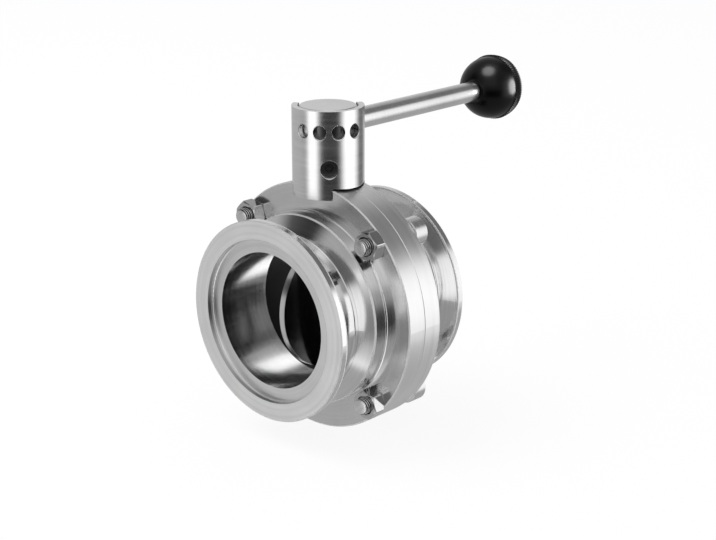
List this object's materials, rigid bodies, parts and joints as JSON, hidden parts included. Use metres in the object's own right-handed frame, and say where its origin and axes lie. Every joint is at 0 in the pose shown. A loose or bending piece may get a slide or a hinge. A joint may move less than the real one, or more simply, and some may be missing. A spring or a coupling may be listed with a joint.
{
  "type": "vacuum butterfly valve",
  "caption": "Clamp-ended stainless butterfly valve with a rubber seat, a quarter-turn indexed handle on a spring-loaded pin, and a black ball knob.",
  "frame": {"origin": "centre of the front port's sealing face, on the pipe axis", "axes": "+Y along the pipe from the front port to the rear port, +Z along the stem towards the handle, +X to the right when looking into the front port"},
  "size_m": [0.094, 0.142, 0.127],
  "materials": {
    "body_steel": "turned and polished stainless steel",
    "disc_steel": "polished stainless steel",
    "seat_rubber": "moulded black elastomer",
    "bush_plastic": "turned white fluoropolymer",
    "seal_rubber": "moulded black elastomer",
    "sleeve_steel": "brushed stainless steel",
    "hub_steel": "turned stainless steel",
    "screw_steel": "stainless screw",
    "pin_steel": "ground stainless steel",
    "spring_steel": "stainless spring wire",
    "rod_steel": "brushed stainless bar",
    "insert_steel": "turned stainless insert",
    "knob_plastic": "polished black thermoset",
    "bolt_steel": "stainless fastener"
  },
  "bodies": {
    "valve_body": {"front_body": "body_steel", "rear_body": "body_steel", "seat_ring": "seat_rubber", "upper_stem_bush": "bush_plastic", "lower_stem_bush": "bush_plastic", "upper_stem_seal": "seal_rubber", "lower_stem_seal": "seal_rubber", "index_sleeve": "sleeve_steel", "body_bolt_1": "bolt_steel", "body_nut_1": "bolt_steel", "body_bolt_2": "bolt_steel", "body_nut_2": "bolt_steel", "body_bolt_3": "bolt_steel", "body_nut_3": "bolt_steel", "body_bolt_4": "bolt_steel", "body_nut_4": "bolt_steel"},
    "disc_and_hub": {"disc": "disc_steel", "handle_hub": "hub_steel", "hub_set_screw": "screw_steel", "spring_gland": "hub_steel"},
    "handle": {"index_pin": "pin_steel", "index_spring": "spring_steel", "handle_rod": "rod_steel", "knob_insert": "insert_steel", "ball_knob": "knob_plastic"}
  },
  "joints": [
    {"name": "handle_turn", "type": "hinge", "parent": "valve_body", "child": "disc_and_hub", "pos_m": [0, 0.0335, 0], "axis": [0, 0, 1], "range_deg": [0, 90]},
    {"name": "pin_pull", "type": "slide", "parent": "disc_and_hub", "child": "handle", "axis": [0, 1, 0], "range_m": [-0.0022, 0.0018], "stiffness_N_per_m": 1200, "springref_m": -0.004, "deforming": ["index_spring"]}
  ]
}
